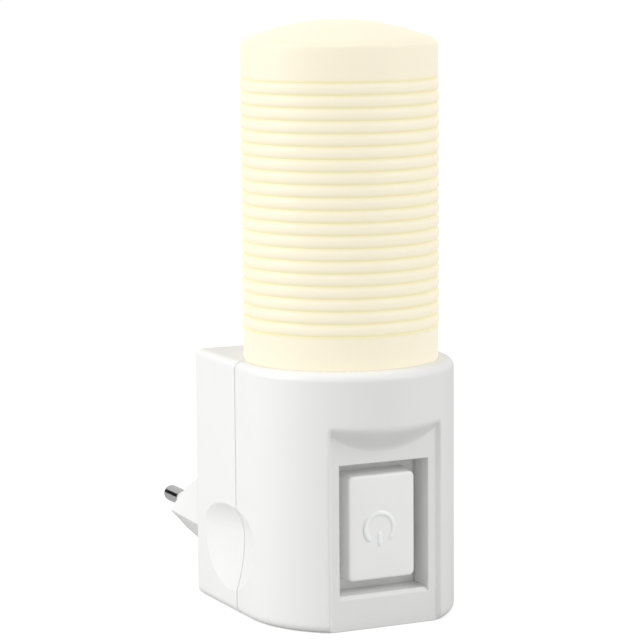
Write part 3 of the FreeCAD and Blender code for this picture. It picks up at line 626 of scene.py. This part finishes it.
def bright_metal(name, colour, roughness, line_mm, line_lift_mm):
    """Polished, drawn or rolled metal with fine lines across the piece's depth."""
    material, tree = new_material(name)
    place = add(tree, "ShaderNodeTexCoord")
    here = place.outputs["Object"]
    lines = add(tree, "ShaderNodeTexWave",
                {"Scale": wave_turn * 1000 / line_mm, "Distortion": 1.5, "Detail": 2.0},
                {"Vector": here}, bands_direction="Y")
    bump = add(tree, "ShaderNodeBump", {"Strength": 0.4, "Distance": line_lift_mm / 1000},
               {"Height": lines.outputs["Fac"]})
    wear = add(tree, "ShaderNodeTexNoise", {"Scale": 1000 / wear_mm, "Detail": 4.0},
               {"Vector": here})
    gloss = add(tree, "ShaderNodeMapRange", {"To Min": roughness * 0.7, "To Max": roughness * 1.4},
                {"Value": wear.outputs["Fac"]})
    skin = add(tree, "ShaderNodeBsdfPrincipled", {"Base Color": linear(colour), "Metallic": 1.0},
               {"Roughness": gloss.outputs[0], "Normal": bump.outputs[0]})
    add(tree, "ShaderNodeOutputMaterial", None, {"Surface": skin.outputs[0]})
    return material


pin_plating = bright_metal("polished_nickel_plate", "C9C9CB", roughness=0.14,
                           line_mm=1.26, line_lift_mm=0.001)
sleeve_nylon = moulded_plastic("matt_white_nylon", "E8E8E6", "E2E2E0", roughness=0.50,
                               grain_mm=0.20, grain_lift_mm=0.003, edge_mm=0.10)
for side in ("left", "right"):
    finish_node("plug_pin_" + side, pin_plating)
    finish_node("pin_sleeve_" + side, sleeve_nylon)


# Dark card: a black studio flag above and behind the plug, out of the picture.
# The polished pins mirror it as the dark band along their length.
flag_place = Vector((-0.34, 0.62, 0.11))
flag_half_width = 0.16
flag_half_height = 0.12

flag_black, tree = new_material("black_flag")
cloth = add(tree, "ShaderNodeBsdfDiffuse", {"Color": linear("101010")})
add(tree, "ShaderNodeOutputMaterial", None, {"Surface": cloth.outputs[0]})
sheet = bmesh.new()
bmesh.ops.create_grid(sheet, x_segments=4, y_segments=4, size=1)
flag_mesh = bpy.data.meshes.new("flag")
sheet.to_mesh(flag_mesh)
sheet.free()
flag = bpy.data.objects.new("flag", flag_mesh)
flag.location = flag_place
flag.scale = (flag_half_width, flag_half_height, 1)
flag.rotation_euler = (-flag_place).to_track_quat("Z", "Y").to_euler()
flag.data.materials.append(flag_black)
flag.visible_camera = False
flag.visible_diffuse = False
flag.visible_shadow = False
bpy.context.scene.collection.objects.link(flag)


# Pin carrier and switch plunger: natural nylon blocks, moulded, warm white and waxy.
# The carrier holds both pins behind the plug's end wall; the plunger works the switch.
natural_nylon = moulded_plastic("natural_nylon", "DCD8CC", "D2CDBE", roughness=0.48,
                                grain_mm=0.40, grain_lift_mm=0.004, edge_mm=0.15)
finish_node("pin_carrier", natural_nylon)
finish_node("switch_plunger", natural_nylon)


# Switch body and bridge rectifier: black filled thermoset, moulded, matt with a coarse grain.
# The body's two ears are screwed to the posts behind the panel; the rectifier is soldered.
black_thermoset = moulded_plastic("matt_black_moulding", "1E1E20", "262628", roughness=0.50,
                                  grain_mm=0.50, grain_lift_mm=0.010, edge_mm=0.15)
finish_node("switch_body", black_thermoset)
finish_node("bridge_rectifier", black_thermoset)


# Spring and latch: drawn wire and stamped strip of spring steel, grey and bright.
# Lines run along the wire; the lever's stubs turn in the switch body.
spring_steel = bright_metal("drawn_spring_steel", "A9ABAE", roughness=0.28,
                            line_mm=1.9, line_lift_mm=0.004)
finish_node("button_spring", spring_steel)
finish_node("latch_lever", spring_steel)


# Switch contacts: stamped from rolled brass strip, yellow and slightly dulled.
# The two fixed ones are pressed into the switch body, and the bridge rides on the plunger.
rolled_brass = bright_metal("rolled_brass", "C8A25A", roughness=0.30,
                            line_mm=2.5, line_lift_mm=0.004)
for name in ("contact_bridge", "switch_terminal_live", "switch_terminal_load"):
    finish_node(name, rolled_brass)


# Screws: steel, cold headed, thread rolled and zinc plated.
# The plating has a faintly uneven, slightly bluish shine.
zinc_plate = bright_metal("zinc_plated_steel", "A6A9AE", roughness=0.32,
                          line_mm=3.1, line_lift_mm=0.006)
for name in ("housing_screws", "switch_screws", "led_board_screws", "driver_screws"):
    finish_node(name, zinc_plate)


# Circuit boards: woven glass and epoxy under green lacquer for the driver, white lacquer for
# the lamp. A faint weave shows through, drawn coarser than the real 0.5 mm cloth.
def lacquered_board(name, colour, under, thread_mm, roughness):
    """Lacquer over a board: two crossed sets of threads tint and lift the surface."""
    material, tree = new_material(name)
    place = add(tree, "ShaderNodeTexCoord")
    here = place.outputs["Object"]
    warp = add(tree, "ShaderNodeTexWave", {"Scale": wave_turn * 1000 / thread_mm},
               {"Vector": here}, bands_direction="X")
    weft = add(tree, "ShaderNodeTexWave", {"Scale": wave_turn * 1000 / thread_mm},
               {"Vector": here}, bands_direction="Z")
    cloth = add(tree, "ShaderNodeMath", None, {0: warp.outputs["Fac"], 1: weft.outputs["Fac"]},
                operation="MULTIPLY")
    tone = add(tree, "ShaderNodeMix", {6: linear(colour), 7: linear(under)},
               {0: cloth.outputs[0]}, data_type="RGBA")
    bump = add(tree, "ShaderNodeBump", {"Strength": 0.3, "Distance": 0.00001},
               {"Height": cloth.outputs[0]})
    skin = add(tree, "ShaderNodeBsdfPrincipled", {"IOR": 1.5, "Roughness": roughness},
               {"Base Color": tone.outputs[2], "Normal": bump.outputs[0]})
    add(tree, "ShaderNodeOutputMaterial", None, {"Surface": skin.outputs[0]})
    return material


green_board = lacquered_board("green_lacquered_board", "1F6B3A", "1A5C32",
                              thread_mm=0.8, roughness=0.25)
white_board = lacquered_board("white_lacquered_board", "EDEDEA", "E4E4E0",
                              thread_mm=0.8, roughness=0.30)
finish_node("driver_board", green_board)
finish_node("led_board", white_board)


# Light chips: small white packages filled with yellow phosphor resin, soldered on the lamp board.
# The resin is cast and looks waxy and even.
phosphor_resin = moulded_plastic("phosphor_resin", "F0D870", "E8CC60", roughness=0.30,
                                 grain_mm=0.60, grain_lift_mm=0.004, edge_mm=0.10)
finish_node("led_chips", phosphor_resin)


# Board parts: dipped film capacitor, sleeved drum capacitor and lacquered resistors.
# The dip is glossy and slightly wavy, the sleeve is shrunk film, and the lacquer is dull.
dipped_epoxy = moulded_plastic("dipped_epoxy", "9C3220", "8E2C1C", roughness=0.22,
                               grain_mm=2.0, grain_lift_mm=0.020, edge_mm=0.20)
shrunk_sleeve = moulded_plastic("shrunk_sleeve", "23262E", "1D2027", roughness=0.30,
                                grain_mm=1.5, grain_lift_mm=0.010, edge_mm=0.15)
beige_lacquer = moulded_plastic("beige_lacquer", "C0A880", "B59D76", roughness=0.45,
                                grain_mm=0.40, grain_lift_mm=0.006, edge_mm=0.10)
blue_lacquer = moulded_plastic("blue_lacquer", "5A8CAE", "5080A2", roughness=0.45,
                               grain_mm=0.40, grain_lift_mm=0.006, edge_mm=0.10)
finish_node("film_capacitor", dipped_epoxy)
finish_node("smoothing_capacitor", shrunk_sleeve)
finish_node("fuse_resistor", beige_lacquer)
finish_node("bleed_resistor", blue_lacquer)


# Leads: stranded copper in extruded PVC, smooth and slightly waxy.
# Brown and blue are the mains, red and black feed the lamp board; their ends are soldered.
for name, colour, darker in (("live_lead", "6A3C22", "5E351E"),
                             ("switched_lead", "6A3C22", "5E351E"),
                             ("neutral_lead", "2A52A0", "254A92"),
                             ("lamp_lead_positive", "A8241E", "9A201A"),
                             ("lamp_lead_negative", "1C1C1C", "242424")):
    lead_pvc = moulded_plastic(name + "_pvc", colour, darker, roughness=0.38,
                               grain_mm=0.50, grain_lift_mm=0.004, edge_mm=0.10)
    finish_node(name, lead_pvc)
